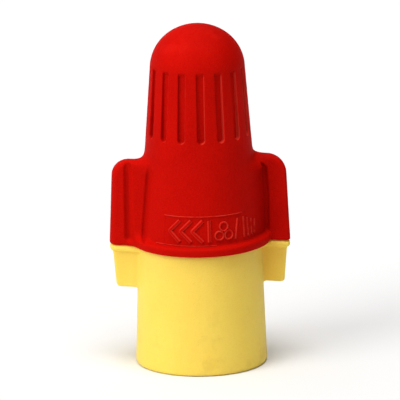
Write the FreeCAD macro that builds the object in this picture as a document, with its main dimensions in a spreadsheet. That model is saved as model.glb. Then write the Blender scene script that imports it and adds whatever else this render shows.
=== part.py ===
import FreeCAD, Part
import math
import os
import Sketcher

# Twist wire connector: a hard shell with two wing cores, a conical spring of square wire
# pressed into its pocket, and a soft cover moulded over the shell.
# The origin is at the middle of the open rim, +Z runs up the axis and the wings lie along X.

doc = FreeCAD.newDocument("twist_wire_connector")
sheet = doc.addObject("Spreadsheet::Sheet", "sizes")

SIZES = [
    # whole connector
    ("total_height", 33.82),
    # soft cover: cone, lip and dome
    ("cover_base", 12.05),
    ("cover_base_radius", 5.96),
    ("cover_taper", 4.3),
    ("cover_wall", 0.95),
    ("cover_cap_wall", 1.4),
    ("shoulder_centre_radius", 0.379),
    ("cap_rise", 0.113),
    ("lip_overhang", 0.66),
    ("lip_height", 0.85),
    ("lip_round", 0.3),
    # wings
    ("wing_span", 2.87),
    ("wing_draft", 2.5),
    ("wing_top", 20.55),
    ("wing_corner", 1.65),
    ("wing_tip_thickness", 1.5),
    ("wing_root_thickness", 1.6),
    ("wing_root_offset", 0.64),
    ("wing_lean", 18.8),
    ("wing_crossing_offset", 1.77),
    ("wing_edge_round", 0.45),
    ("wing_wall", 0.44),
    # fuller sides of the cover in front of the wings' trailing faces
    ("side_radius", 10.0),
    ("side_start_turn", 40),
    ("side_start_step", 0.17),
    ("side_end", 0.6),
    ("side_drop", 0.3),
    # wing cores and flanges of the shell
    ("core_bottom", 7.75),
    ("core_step", 0.26),
    ("core_draft", 4.5),
    ("core_corner", 0.35),
    ("flange_thickness", 0.7),
    # flutes round the neck
    ("flute_count", 16),
    ("flute_width", 0.75),
    ("flute_bottom", 23.0),
    ("flute_depth", 0.46),
    ("flute_tilt", 1.38),
    # marking panels above the lip
    ("panel_gap", 0.95),
    ("panel_height", 2.9),
    ("panel_depth", 0.06),
    ("panel_sweep", 116),
    ("panel_turn", 17),
    # hard shell
    ("skirt_step", 0.07),
    ("skirt_flare", 0.42),
    ("rim_round", 0.3),
    ("entry_wall", 1.0),
    ("entry_depth", 6.8),
    ("entry_chamfer", 0.25),
    ("shell_corner", 2.4),
    ("pocket_wall", 0.7),
    ("pocket_end_wall", 2.2),
    ("rib_count", 6),
    ("rib_gap_angle", 42),
    ("rib_depth", 0.15),
    # square-wire spring
    ("wire_side", 0.8),
    ("spring_pitch", 1.2),
    ("spring_fit", 0.03),
    ("spring_start_gap", 0.2),
]

HALF_TURN_COUNT = 2
CUT_MARGIN = 1.0


class Size:
    """A number together with the spreadsheet formula that it comes from."""

    def __init__(self, value, formula):
        self.value = value
        self.formula = formula

    def __add__(self, other):
        return joined(self, "+", other, self.value + value_of(other))

    def __sub__(self, other):
        return joined(self, "-", other, self.value - value_of(other))

    def __mul__(self, other):
        return joined(self, "*", other, self.value * value_of(other))

    def __truediv__(self, other):
        return joined(self, "/", other, self.value / value_of(other))

    def __neg__(self):
        return Size(-self.value, "-(" + self.formula + ")")


def value_of(number):
    return number.value if isinstance(number, Size) else number


def formula_of(number):
    return number.formula if isinstance(number, Size) else repr(number)


def joined(left, sign, right, value):
    return Size(value, "(" + left.formula + " " + sign + " " + formula_of(right) + ")")


def tangent(angle):
    return Size(math.tan(math.radians(angle.value)), "tan(" + angle.formula + " * 1 deg)")


def sine(angle):
    return Size(math.sin(math.radians(angle.value)), "sin(" + angle.formula + " * 1 deg)")


def cosine(angle):
    return Size(math.cos(math.radians(angle.value)), "cos(" + angle.formula + " * 1 deg)")


def root(size):
    return Size(math.sqrt(size.value), "sqrt(" + size.formula + ")")


def fill_sheet():
    """Write every driving size to the sheet and return them by name."""
    named = {}
    for row, (alias, number) in enumerate(SIZES, start=1):
        cell = "B" + str(row)
        sheet.set("A" + str(row), alias.replace("_", " "))
        sheet.set(cell, str(number))
        sheet.setAlias(cell, alias)
        named[alias] = Size(number, "sizes." + alias)
    doc.recompute()
    return named


size = fill_sheet()


# ---------------------------------------------------------------- drawing helpers

def origin_part(body, role):
    return next(item for item in body.Origin.OriginFeatures if item.Role == role)


def new_body(name):
    return doc.addObject("PartDesign::Body", name)


def new_sketch(body, name, role, level=None):
    """A sketch on one of the body's own origin planes, raised along Z to a level if one is given."""
    sketch = body.newObject("Sketcher::SketchObject", name)
    sketch.AttachmentSupport = [(origin_part(body, role), "")]
    sketch.MapMode = "FlatFace"
    if level is not None:
        sketch.setExpression(".AttachmentOffset.Base.z", level.formula)
    doc.recompute()
    return sketch


def pin(sketch, kind, edge, point, number):
    """Hold a point of an edge at a signed distance from the origin, along one axis."""
    value = value_of(number)
    if abs(value) < 1e-9:
        axis = -2 if kind == "DistanceX" else -1
        sketch.addConstraint(Sketcher.Constraint("PointOnObject", edge, point, axis))
        return
    if value > 0:
        place = sketch.addConstraint(Sketcher.Constraint(kind, -1, 1, edge, point, value))
        formula = formula_of(number)
    else:
        place = sketch.addConstraint(Sketcher.Constraint(kind, edge, point, -1, 1, -value))
        formula = "-(" + formula_of(number) + ")"
    sketch.setExpression("Constraints[" + str(place) + "]", formula)


def arc_between(start, end, bend):
    """An arc from start to end; a positive bend turns left on the way, a negative one right."""
    radius = abs(bend)
    middle = (start + end) * 0.5
    chord = end - start
    left = FreeCAD.Vector(-chord.y, chord.x, 0).normalize()
    rise = math.sqrt(max(radius ** 2 - (chord.Length / 2) ** 2, 0.0))
    side = 1 if bend > 0 else -1
    centre = middle + left * rise * side
    return Part.Arc(start, centre - left * radius * side, end)


def draw(sketch, corners):
    """Draw one closed outline; a corner is (x, y), or (x, y, bend) where the edge to the next is an arc."""
    first = sketch.GeometryCount
    count = len(corners)
    spots = [FreeCAD.Vector(value_of(corner[0]), value_of(corner[1]), 0) for corner in corners]
    ends = []
    for index, corner in enumerate(corners):
        start = spots[index]
        end = spots[(index + 1) % count]
        if len(corner) == 3:
            sketch.addGeometry(arc_between(start, end, value_of(corner[2])), False)
            ends.append((1, 2) if value_of(corner[2]) > 0 else (2, 1))
        else:
            sketch.addGeometry(Part.LineSegment(start, end), False)
            ends.append((1, 2))
    for index, corner in enumerate(corners):
        edge = first + index
        following = (index + 1) % count
        sketch.addConstraint(
            Sketcher.Constraint("Coincident", edge, ends[index][1], first + following, ends[following][0]))
        pin(sketch, "DistanceX", edge, ends[index][0], corner[0])
        pin(sketch, "DistanceY", edge, ends[index][0], corner[1])
        if len(corner) == 3:
            bend = corner[2]
            radius = bend if value_of(bend) > 0 else -bend
            place = sketch.addConstraint(Sketcher.Constraint("Radius", edge, value_of(radius)))
            sketch.setExpression("Constraints[" + str(place) + "]", formula_of(radius))


def revolve(body, name, corners):
    """Turn an outline, given as (radius, level) corners, once round Z."""
    sketch = new_sketch(body, name + "_outline", "XZ_Plane")
    draw(sketch, corners)
    turn = body.newObject("PartDesign::Revolution", name)
    turn.Profile = sketch
    turn.ReferenceAxis = (sketch, ["V_Axis"])
    doc.recompute()
    return turn


def pad(body, name, outlines, level, length):
    sketch = new_sketch(body, name + "_outline", "XY_Plane", level)
    for corners in outlines:
        draw(sketch, corners)
    rise = body.newObject("PartDesign::Pad", name)
    rise.Profile = sketch
    rise.setExpression("Length", length.formula)
    doc.recompute()
    return rise


def trim(body, name, outlines):
    """Cut outlines drawn in XZ right through the body, to both sides."""
    sketch = new_sketch(body, name + "_outline", "XZ_Plane")
    for corners in outlines:
        draw(sketch, corners)
    before = body.Shape.Volume
    cut = body.newObject("PartDesign::Pocket", name)
    cut.Profile = sketch
    cut.Type = "ThroughAll"
    cut.Midplane = True
    doc.recompute()
    check_cut(body, name, before)
    return cut


def repeat(body, name, features, count):
    """Repeat features evenly round Z."""
    ring = body.newObject("PartDesign::PolarPattern", name)
    ring.Originals = features
    ring.Axis = (origin_part(body, "Z_Axis"), [""])
    ring.Angle = 360
    ring.Occurrences = int(value_of(count))
    if isinstance(count, Size):
        ring.setExpression("Occurrences", count.formula)
    body.Tip = ring
    doc.recompute()
    return ring


def check_cut(body, name, before):
    if body.Shape.Volume >= before:
        raise RuntimeError(name + " cut nothing")


def turned(corners):
    """The same outline after half a turn round the origin."""
    return [(-corner[0], -corner[1]) + tuple(corner[2:]) for corner in corners]


def mirrored(corners):
    """The same outline on the other side of the vertical axis."""
    flipped = []
    for corner in corners:
        flipped.append((-corner[0], corner[1]) + tuple(-bend for bend in corner[2:]))
    return flipped


# ---------------------------------------------------------------- shared geometry

def cover_radius(level):
    """Outer radius of the cover's cone at a level."""
    return size["cover_base_radius"] - (level - size["cover_base"]) * tangent(size["cover_taper"])


def seat_radius(level):
    """Outer radius of the shell's cone, which the cover is moulded on."""
    return cover_radius(level) - size["cover_wall"] / cosine(size["cover_taper"])


def pocket_radius(level):
    """Radius of the spring pocket, measured on its ribs."""
    return seat_radius(level) - size["pocket_wall"]


def level_of_shoulder():
    """Level of the shoulder arc's centre; the arc meets the cone smoothly and the cap ends the height."""
    taper = size["cover_taper"]
    cone_at_origin = size["cover_base_radius"] + size["cover_base"] * tangent(taper)
    rise = (cone_at_origin - size["shoulder_centre_radius"]) * cosine(taper)
    return (size["total_height"] - size["cap_rise"] - rise) / (-(sine(taper) - 1))


lip_radius = size["cover_base_radius"] + size["lip_overhang"]
skirt_top_radius = size["cover_base_radius"] + size["skirt_step"]
rim_radius = skirt_top_radius + size["skirt_flare"]
entry_radius = rim_radius - size["entry_wall"]
wing_reach = size["cover_base_radius"] + size["wing_span"]
wing_root_reach = size["cover_base_radius"] + size["wing_root_offset"]
wing_crossing = size["cover_base_radius"] + size["wing_crossing_offset"]
shell_top = size["total_height"] - size["cover_cap_wall"]
pocket_top = shell_top - size["pocket_end_wall"]
shoulder_level = level_of_shoulder()
shoulder_reach = cover_radius(shoulder_level) - size["shoulder_centre_radius"]
shoulder_radius = shoulder_reach * cosine(size["cover_taper"])
wing_height = size["wing_top"] - size["cover_base"]


def wing_plan(reach, wall):
    """Plan of one wing, thinned by a wall on both faces, from inside the body out to a reach."""
    lean = size["wing_lean"]
    slope = tangent(lean)
    near = wing_root_reach / 4
    spread = (size["wing_root_thickness"] - size["wing_tip_thickness"]) / 2
    stretch = wing_reach - wing_root_reach

    def half(place):
        grown = size["wing_tip_thickness"] / 2 + spread * ((wing_reach - place) / stretch)
        return (grown - wall) / cosine(lean)

    def middle(place):
        return (wing_crossing - place) * slope

    return [
        (near, middle(near) - half(near)),
        (reach, middle(reach) - half(reach)),
        (reach, middle(reach) + half(reach)),
        (near, middle(near) + half(near)),
    ]


def wing_edge(level, wall):
    """How far a wing's outer edge stands from the axis at a level."""
    return wing_reach - wall - (level - size["cover_base"]) * tangent(size["wing_draft"])


def waste_above(top, wall, floor):
    """Everything outside a wing's outer edge and round its top corner."""
    far = wing_reach + CUT_MARGIN * 2
    bend = size["wing_corner"] - wall
    corner = top - bend
    return [
        (wing_edge(floor, wall), floor),
        (far, floor),
        (far, top + CUT_MARGIN),
        (wing_edge(corner, wall) - bend, top + CUT_MARGIN),
        (wing_edge(corner, wall) - bend, top, -bend),
        (wing_edge(corner, wall), corner),
    ]


# ---------------------------------------------------------------- hard shell

def shell_blank():
    """The shell as one solid: skirt, seat for the cover, wing cores and wing flanges."""
    body = new_body("shell_blank")
    corner = size["shell_corner"]
    corner_level = shell_top - corner
    revolve(body, "shell_turned", [
        (0, 0),
        (rim_radius - size["rim_round"], 0, size["rim_round"]),
        (rim_radius, size["rim_round"]),
        (skirt_top_radius, size["cover_base"]),
        (seat_radius(size["cover_base"]), size["cover_base"]),
        (seat_radius(corner_level), corner_level, corner),
        (seat_radius(corner_level) - corner, shell_top),
        (0, shell_top),
    ])
    wall = size["wing_wall"]
    core_top = size["wing_top"] - wall * 2
    core_foot = size["core_bottom"]
    core_plan = wing_plan(wing_reach + CUT_MARGIN, wall)
    pad(body, "wing_cores", [core_plan, turned(core_plan)], core_foot, core_top - core_foot)
    outer = waste_above(core_top, wall, size["cover_base"])
    trim(body, "core_tops", [outer, mirrored(outer)])
    lower = core_waste_below()
    trim(body, "core_feet", [lower, mirrored(lower)])
    flange_plan = wing_plan(wing_reach, 0)
    flange_level = size["cover_base"] - size["flange_thickness"]
    pad(body, "wing_flanges", [flange_plan, turned(flange_plan)], flange_level, size["flange_thickness"])
    return body


def core_waste_below():
    """Everything outside the bare part of a wing core, with its rounded foot."""
    far = wing_reach + CUT_MARGIN * 2
    top = size["cover_base"]
    foot = size["core_bottom"]
    bend = size["core_corner"]
    edge_at_top = wing_reach - size["core_step"]
    edge_at_foot = edge_at_top - (top - foot) * tangent(size["core_draft"])
    return [
        (edge_at_foot - bend, foot, bend),
        (edge_at_foot, foot + bend),
        (edge_at_top, top),
        (far, top),
        (far, foot - CUT_MARGIN),
        (edge_at_foot - bend, foot - CUT_MARGIN),
    ]


def wire_way():
    """The hollow of the shell: wire entry, funnel and the ribbed pocket for the spring."""
    body = new_body("wire_way")
    chamfer = size["entry_chamfer"]
    mouth = size["cover_base"]
    revolve(body, "way_turned", [
        (0, 0),
        (entry_radius + chamfer, 0),
        (entry_radius, chamfer),
        (entry_radius, size["entry_depth"]),
        (pocket_radius(mouth), mouth),
        (pocket_radius(pocket_top), pocket_top),
        (0, pocket_top),
    ])
    depth = size["rib_depth"]
    core = pocket_radius(pocket_top) / 2
    sketch = new_sketch(body, "rib_gap_outline", "XZ_Plane")
    draw(sketch, [
        (core, mouth),
        (pocket_radius(mouth) + depth, mouth),
        (pocket_radius(pocket_top) + depth, pocket_top),
        (core, pocket_top),
    ])
    gap = body.newObject("PartDesign::Revolution", "rib_gap")
    gap.Profile = sketch
    gap.ReferenceAxis = (sketch, ["V_Axis"])
    gap.Midplane = True
    gap.setExpression("Angle", size["rib_gap_angle"].formula)
    doc.recompute()
    repeat(body, "rib_gaps", [gap], size["rib_count"])
    return body


def inner_shell(blank, way):
    shell = doc.addObject("Part::Cut", "inner_shell")
    shell.Base = blank
    shell.Tool = way
    doc.recompute()
    return shell


# ---------------------------------------------------------------- soft cover

def cover_turned():
    """The cover before the shell is taken out of it: dome, neck, lip, wings, flutes and panels."""
    body = new_body("cover_turned")
    base = size["cover_base"]
    lip_top = base + size["lip_height"]
    inner = size["shoulder_centre_radius"]
    shoulder_start = shoulder_level + shoulder_radius * sine(size["cover_taper"])
    cap_radius = shoulder_radius + size["cap_rise"] / 2 + inner * inner / (size["cap_rise"] * 2)
    cap_edge = inner * cap_radius / (cap_radius - shoulder_radius)
    cap_drop = root(cap_radius * cap_radius - cap_edge * cap_edge)
    cap_level = size["total_height"] - cap_radius + cap_drop
    bead = size["lip_round"]
    revolve(body, "dome_and_neck", [
        (0, base),
        (lip_radius - bead, base, bead),
        (lip_radius, base + bead),
        (lip_radius, lip_top - bead, bead),
        (lip_radius - bead, lip_top),
        (cover_radius(lip_top), lip_top),
        (inner + shoulder_radius * cosine(size["cover_taper"]), shoulder_start, shoulder_radius),
        (cap_edge, cap_level, cap_radius),
        (0, size["total_height"]),
    ])
    flutes(body)
    panels(body)
    return body


def cover_wings():
    """Both wings, joined by a hub that lies inside the shell and goes when the shell is taken out."""
    body = new_body("cover_wings")
    base = size["cover_base"]
    hub = pocket_radius(size["wing_top"])
    revolve(body, "hub", [(0, base), (hub, base), (hub, size["wing_top"]), (0, size["wing_top"])])
    plan = wing_plan(wing_reach + CUT_MARGIN, 0)
    pad(body, "wings", [plan, turned(plan)], base, wing_height)
    outer = waste_above(size["wing_top"], 0, base)
    trim(body, "wing_tops", [outer, mirrored(outer)])
    round_wing_edges(body)
    return body


def cover_sides():
    """A wide arc that fills out the side in front of each wing's trailing face, narrowing like the cone."""
    body = new_body("cover_sides")
    base = size["cover_base"]
    radius = size["side_radius"]
    turn = size["side_start_turn"]
    start = size["cover_base_radius"] - size["side_start_step"]
    shift = radius - start
    end = size["side_end"]
    rise = end - shift * cosine(turn)
    reach = root(radius * radius - rise * rise) - shift * sine(turn)
    plan = [
        (start * sine(turn), -start * cosine(turn), radius),
        (reach, end),
        (wing_root_reach / 2, end),
    ]
    sides = pad(body, "sides", [plan, turned(plan)], base, wing_height - size["side_drop"])
    sides.setExpression("TaperAngle", (-size["cover_taper"]).formula)
    doc.recompute()
    return body


def grip_cover(solids, shell):
    whole = doc.addObject("Part::MultiFuse", "cover_whole")
    whole.Shapes = solids
    cover = doc.addObject("Part::Cut", "grip_cover")
    cover.Base = whole
    cover.Tool = shell
    doc.recompute()
    return cover


def flutes(body):
    """Finger flutes that start at a rounded foot and run out over the shoulder."""
    foot = size["flute_bottom"]
    half = size["flute_width"] / 2
    floor = cover_radius(foot) - size["flute_depth"]
    sketch = new_sketch(body, "flute_outline", "XZ_Plane")
    sketch.setExpression(".AttachmentOffset.Base.z", floor.formula)
    sketch.setExpression(".AttachmentOffset.Base.y", foot.formula)
    sketch.setExpression(".AttachmentOffset.Rotation.Angle", size["flute_tilt"].formula)
    leaning_back = FreeCAD.Rotation(FreeCAD.Vector(-1, 0, 0), value_of(size["flute_tilt"]))
    sketch.AttachmentOffset = FreeCAD.Placement(sketch.AttachmentOffset.Base, leaning_back)
    doc.recompute()
    length = size["total_height"] - foot
    draw(sketch, [
        (0, 0, half),
        (half, half),
        (half, length),
        (-half, length),
        (-half, half, half),
    ])
    before = body.Shape.Volume
    cut = body.newObject("PartDesign::Pocket", "flute")
    cut.Profile = sketch
    cut.Type = "ThroughAll"
    cut.Reversed = True
    doc.recompute()
    check_cut(body, "flute", before)
    repeat(body, "flute_ring", [cut], size["flute_count"])


def panels(body):
    """Two shallow panels between the wings, just above the lip."""
    low = size["cover_base"] + size["panel_gap"]
    high = low + size["panel_height"]
    depth = size["panel_depth"]
    sketch = new_sketch(body, "panel_outline", "XZ_Plane")
    sketch.AttachmentOffset = FreeCAD.Placement(
        FreeCAD.Vector(0, 0, 0), FreeCAD.Rotation(FreeCAD.Vector(0, 1, 0), 1))
    sketch.setExpression(".AttachmentOffset.Rotation.Angle", (size["panel_turn"] - 90).formula)
    draw(sketch, [
        (cover_radius(low) - depth, low),
        (cover_radius(low) + CUT_MARGIN, low),
        (cover_radius(high) + CUT_MARGIN, high),
        (cover_radius(high) - depth, high),
    ])
    before = body.Shape.Volume
    cut = body.newObject("PartDesign::Groove", "panel")
    cut.Profile = sketch
    cut.ReferenceAxis = (sketch, ["V_Axis"])
    cut.Midplane = True
    cut.setExpression("Angle", size["panel_sweep"].formula)
    doc.recompute()
    check_cut(body, "panel", before)
    repeat(body, "panel_pair", [cut], HALF_TURN_COUNT)


def wing_edges(body):
    """Names of the edges along both wings' free outline, above the lip."""
    lowest = value_of(size["cover_base"] + size["lip_height"])
    names = []
    for number, edge in enumerate(body.Shape.Edges, start=1):
        first = edge.firstVertex()
        last = edge.lastVertex()
        reach = max(abs(first.X), abs(last.X))
        across = abs(last.Y - first.Y) > edge.Length / 2
        above_lip = edge.CenterOfMass.z > lowest
        if reach > value_of(wing_root_reach) and above_lip and not across:
            names.append("Edge" + str(number))
    return names


def round_wing_edges(body):
    """Soft edges round the free outline of both wings."""
    trimmed = body.Tip
    edges = wing_edges(body)
    rounding = body.newObject("PartDesign::Fillet", "wing_edge_rounds")
    rounding.Base = (trimmed, edges)
    rounding.setExpression("Radius", size["wing_edge_round"].formula)
    body.Tip = rounding
    doc.recompute()


# ---------------------------------------------------------------- spring

def square_wire_spring():
    """The conical spring: square wire wound right-handed with one corner facing the wires."""
    body = new_body("square_wire_spring")
    half = size["wire_side"] / math.sqrt(2)
    foot = size["cover_base"] + half + size["spring_start_gap"]
    ring = pocket_radius(foot) - size["spring_fit"] - half
    sketch = new_sketch(body, "wire_section", "XZ_Plane")
    draw(sketch, [(ring + half, foot), (ring, foot + half), (ring - half, foot), (ring, foot - half)])
    coil = body.newObject("PartDesign::AdditiveHelix", "coil")
    coil.Profile = sketch
    coil.ReferenceAxis = (sketch, ["V_Axis"])
    coil.Mode = "pitch-height-angle"
    coil.setExpression("Pitch", size["spring_pitch"].formula)
    coil.setExpression("Height", (pocket_top - half - size["spring_fit"] - foot).formula)
    coil.setExpression("Angle", (-size["cover_taper"]).formula)
    doc.recompute()
    return body


def write_parts(parts):
    os.makedirs("parts", exist_ok=True)
    for item in doc.Objects:
        if "Invalid" in item.State or "Error" in item.State:
            raise RuntimeError(item.Name + " did not build")
    for part in parts:
        if part.Shape.isNull() or not part.Shape.isValid():
            raise RuntimeError(part.Label + " has no valid shape")
        part.Shape.exportStep("parts/" + part.Label + ".step")
        print(part.Label, round(part.Shape.Volume, 1), "mm3", len(part.Shape.Solids), "solid")


# ---------------------------------------------------------------- the connector

blank = shell_blank()
shell = inner_shell(blank, wire_way())
cover = grip_cover([cover_turned(), cover_wings(), cover_sides()], blank)
spring = square_wire_spring()
write_parts([cover, shell, spring])
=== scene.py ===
import math

import bmesh
import bpy
from mathutils import Matrix, Vector


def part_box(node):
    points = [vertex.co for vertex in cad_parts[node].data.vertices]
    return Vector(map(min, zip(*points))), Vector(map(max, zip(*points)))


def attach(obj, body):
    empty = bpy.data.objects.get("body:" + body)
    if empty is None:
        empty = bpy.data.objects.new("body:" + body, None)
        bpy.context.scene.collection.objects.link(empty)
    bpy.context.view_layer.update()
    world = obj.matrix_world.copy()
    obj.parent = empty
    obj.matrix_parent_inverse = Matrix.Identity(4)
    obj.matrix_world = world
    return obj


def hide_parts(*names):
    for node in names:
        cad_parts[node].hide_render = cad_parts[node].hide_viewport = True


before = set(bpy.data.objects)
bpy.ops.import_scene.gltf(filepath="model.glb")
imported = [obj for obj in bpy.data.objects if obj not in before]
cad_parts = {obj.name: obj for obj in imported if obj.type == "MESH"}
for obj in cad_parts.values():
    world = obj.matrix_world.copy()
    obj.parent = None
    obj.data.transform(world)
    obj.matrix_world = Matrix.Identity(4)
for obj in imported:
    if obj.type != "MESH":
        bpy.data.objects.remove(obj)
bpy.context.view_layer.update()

MM = 0.001
HALF_TURN = math.pi
FULL_TURN = 2 * math.pi


# ================================================================ sizes, in millimetres

def in_mm(corner):
    return Vector(corner) / MM


cover_low, cover_high = map(in_mm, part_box("grip_cover"))
shell_low, shell_high = map(in_mm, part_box("inner_shell"))
spring_low, spring_high = map(in_mm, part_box("square_wire_spring"))

TOP = cover_high.z
COVER_BASE = cover_low.z
LIP_RADIUS = cover_high.y
WING_REACH = cover_high.x
RIM_RADIUS = shell_high.y
SHELL_TOP = shell_high.z

# soft cover
LIP_OVERHANG = 0.66
LIP_HEIGHT = 0.85
LIP_ROUND = 0.34
BASE_RADIUS = LIP_RADIUS - LIP_OVERHANG
TAPER = math.radians(4.3)
COVER_WALL = 0.95
SEAT_INSET = COVER_WALL / math.cos(TAPER)
SHOULDER_CENTRE = 0.379
CAP_RISE = 0.113

# wings
WING_TOP = 20.55
WING_CORNER = 1.65
WING_DRAFT = math.radians(2.5)
WING_LEAN = math.radians(18.8)
WING_CROSSING = BASE_RADIUS + 1.77
WING_TIP_HALF = 0.75
WING_SPREAD = 0.0224
WING_EDGE_ROUND = 0.5
WING_WALL = 0.44
CORE_TOP_WALLS = 2

# flutes
FLUTE_COUNT = 16
FLUTE_HALF = 0.355
FLUTE_TURN = math.radians(0.7)
FLUTE_FOOT = 23.0
FLUTE_HEAD = 29.9
FLUTE_DEPTH = 0.46
FLUTE_TILT = math.radians(2.6)
FLUTE_RUNOUT = 0.7

# marking panels
PANEL_LOW = COVER_BASE + 0.95
PANEL_HIGH = PANEL_LOW + 2.9
PANEL_DEPTH = 0.06
PANEL_SWEEP = math.radians(116)
PANEL_TURN = math.radians(17)
PANEL_EASE = 0.06
PANEL_SIDE_EASE = math.radians(2)

# hard shell
CORE_FOOT = 7.75
CORE_STEP = 0.26
CORE_DRAFT = math.radians(4.5)
SKIRT_TOP_RADIUS = BASE_RADIUS + 0.07
ENTRY_RADIUS = RIM_RADIUS - 1.0
ENTRY_DEPTH = 6.8
POCKET_WALL = 0.7
POCKET_TOP = SHELL_TOP - 2.2
FLANGE = 0.7
FLANGE_ROUND = 0.3
FLANGE_FILLET = 0.3
CORE_CORNER = 0.35
CORE_EDGE_ROUND = 0.14
CORE_FILLET = 0.5
SHELL_CORNER = 2.4
RIM_ROUND = 0.3
SKIRT_TOP_ROUND = 0.05
ENTRY_CHAMFER = 0.25
WAY_EDGE_ROUND = 0.06
WAY_LEAN = 0.98
RIB_COUNT = 6
RIB_GAP = math.radians(21)
RIB_SIDE = 0.03
RIB_RUNOUT = 0.3
RIB_DEPTH = 0.15

# soft edges of the cover; a pair is where a change starts and ends
TRAILING_FILLET = 0.14
DRIVING_FILLET = 0.3
SIDE_FILLET_ACROSS = (-0.2, 0.8)
TOP_FILLET = 1.6
TOP_FILLET_LEVELS = (WING_TOP - 1.8, WING_TOP - 0.6)
SWELL_TURN = math.radians(40)
SWELL_BODY = 5.62
SWELL_RADIUS = 10.0
LIP_SWELL_RADIUS = 8.0
SWELL_START = 0.4
SWELL_TOP = WING_TOP + 0.1
SWELL_FADE = 1.3
CREASE_OUT = 5.67
CREASE_LEAN = 0.085
CREASE_RADIUS = 0.3
CREASE_OFF = 0.15
CREASE_FOOT = COVER_BASE + 0.9
CREASE_HEAD = WING_TOP - 1.3
CREASE_EASE = 0.08
CHANNEL_FADE = 0.25
CHANNEL_SIDE_FADE = 3
VALLEY_OFF = 0.1
VALLEY_RADIUS = 0.27
VALLEY_EASE = 0.1
VALLEY_FOOT = COVER_BASE + 1.2
VALLEY_HEAD = WING_TOP - 1.5
LIP_FILLET = 0.16
LIP_WING_FILLET = 1.3
LIP_WING_ACROSS = (0.0, 0.6)
LIP_WING_OUT = (4.6, 5.6)
COVER_EDGE_ROUND = 0.1
FOOT_WAVES = 1.1
FOOT_WAVE_NOISE = (0.35, 0.7)
FOOT_WAVE_OUT = (6.0, 7.0)
FOOT_WAVE_HEIGHT = 0.07
FLUTE_FLOOR_ROUND = 0.06
FLUTE_EDGE_EASE = 0.02
GROOVE_OUT = 7.0
GROOVE_RADIUS = 0.52
GROOVE_DEPTH = 0.26
GROOVE_FOOT = COVER_BASE + 0.85
GROOVE_HEAD = WING_TOP - 1.2
GROOVE_EASE = 0.05

# square-wire spring
WIRE_SIDE = 0.8
WIRE_HALF = WIRE_SIDE / math.sqrt(2)
WIRE_EDGE = 0.07
WIRE_EDGE_STEPS = 3
SPRING_PITCH = 1.2
SPRING_TURNS = (spring_high.z - spring_low.z - 2 * WIRE_HALF) / SPRING_PITCH
SPRING_FIT = 0.03
SPRING_STEPS = 96

# colours
RED_FULL = (0.53, 0.0042, 0.0012, 1)
RED_DEEP = (0.475, 0.0032, 0.0008, 1)
RED_PALE = (0.56, 0.014, 0.006, 1)
RED_DARK = (0.3, 0.0015, 0.0006, 1)
# pale red for painted highlights: on the flutes' lit rims and on the marks, where it is partly rub wear
RED_HIGHLIGHT_AND_WEAR = (0.72, 0.08, 0.05, 1)
# paler red for the painted highlight on the dome top
RED_DOME_HIGHLIGHT = (0.66, 0.016, 0.008, 1)
RED_IOR = 1.08
YELLOW_FULL = (0.92, 0.68, 0.13, 1)
YELLOW_WARM = (0.9, 0.65, 0.117, 1)
YELLOW_PALE = (0.92, 0.71, 0.16, 1)
YELLOW_DEEP = (0.62, 0.38, 0.05, 1)
YELLOW_SPECK = (0.3, 0.16, 0.03, 1)
YELLOW_IOR = 1.25
STEEL_BRIGHT = (0.68, 0.67, 0.64, 1)
STEEL_DARK = (0.44, 0.43, 0.42, 1)
STEEL_BLOOM = (0.5, 0.47, 0.4, 1)

# raised marks, laid out as length along the panel and height up it
MARK_START = math.radians(-36)
MARK_RADIUS = 5.8
MARK_SIDES = 10
BOLD_FOOT = 0.4
BOLD_HEAD = 2.5
CHEVRON_COUNT = 3
CHEVRON_START = 0.2
CHEVRON_STEP = 1.15
CHEVRON_LENGTH = 1.05
BAR_ALONG = 4.2
BUNDLE = ((5.2, 0.95), (6.2, 0.95), (5.7, 1.82))
BUNDLE_WIRE = 0.43
BUNDLE_POINTS = 24
FINE_FOOT = 0.45
STROKE_HEAD = (7.3, 2.45)
STROKE_ALONG = 6.95
GAUGE_START = 8.1
GAUGE_STEP = 0.6
GAUGE_HEADS = (2.45, 2.25, 2.05, 1.85)
TOP_HAIR = ((-0.46, 2.9), (7.9, 2.9))
FOOT_HAIR = ((-1.4, 0.02), (4.9, 0.02))
BOLD_HALF = 0.2
BOLD_LIFT = 0.2
FINE_HALF = 0.09
FINE_LIFT = 0.14
HAIR_HALF = 0.05
HAIR_LIFT = 0.08
STROKE_STEP = 0.1
FAR_OUT = 12.0

# how finely the solids are sampled
MARGIN = 0.35
COVER_GRAIN = 0.08
SHELL_GRAIN = 0.12
PIECE_TRIANGLES = 190000


def cone_radius(level):
    """Radius of the cover's cone at a level."""
    return BASE_RADIUS - (level - COVER_BASE) * math.tan(TAPER)


POCKET_FOOT_RADIUS = cone_radius(spring_low.z + WIRE_HALF) - SEAT_INSET - POCKET_WALL
SPRING_FOOT_RADIUS = POCKET_FOOT_RADIUS - SPRING_FIT - WIRE_HALF

# the shoulder arc runs smoothly out of the cone, and the cap arc out of the shoulder
CONE_AT_ORIGIN = cone_radius(0)
SHOULDER_DROP = (CONE_AT_ORIGIN - SHOULDER_CENTRE) * math.cos(TAPER)
SHOULDER_LEVEL = (TOP - CAP_RISE - SHOULDER_DROP) / (1 - math.sin(TAPER))
SHOULDER_RADIUS = (cone_radius(SHOULDER_LEVEL) - SHOULDER_CENTRE) * math.cos(TAPER)
SHOULDER_START = SHOULDER_LEVEL + SHOULDER_RADIUS * math.sin(TAPER)
CAP_RADIUS = SHOULDER_RADIUS + CAP_RISE / 2 + SHOULDER_CENTRE ** 2 / (2 * CAP_RISE)
CAP_EDGE = SHOULDER_CENTRE * CAP_RADIUS / (CAP_RADIUS - SHOULDER_RADIUS)


# ================================================================ node trees as expressions

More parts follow.
